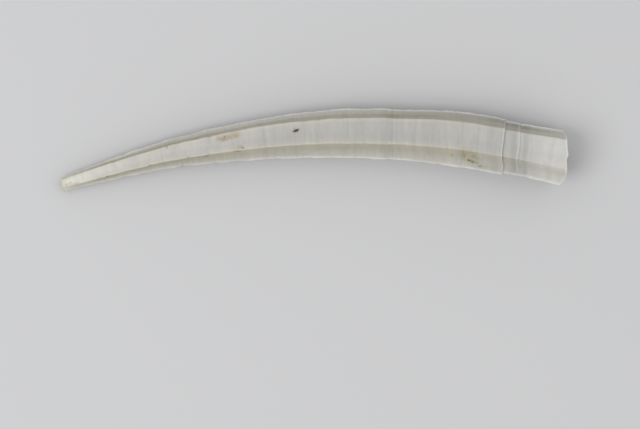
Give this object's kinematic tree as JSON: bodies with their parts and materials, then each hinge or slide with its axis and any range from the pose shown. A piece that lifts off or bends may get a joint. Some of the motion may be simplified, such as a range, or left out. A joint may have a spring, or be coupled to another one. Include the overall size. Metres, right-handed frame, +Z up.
{
  "type": "tusk shell",
  "caption": "Six-sided tusk shell: a slender, gently curved hollow tube with sharp lengthwise ribs, a small open tip, two growth steps and a chipped mouth, lying on its side.",
  "frame": {"origin": "bottom centre of the bounding box, on the surface that the shell lies on", "axes": "+X runs from the tip to the mouth along the shell's length, the bend bulges towards +Y, and +Z is up, the shell's thinnest way as it lies"},
  "size_m": [0.0522, 0.0086, 0.0055],
  "materials": {
    "shell": "satin"
  },
  "bodies": {
    "root": {"shell": "shell"}
  },
  "joints": []
}
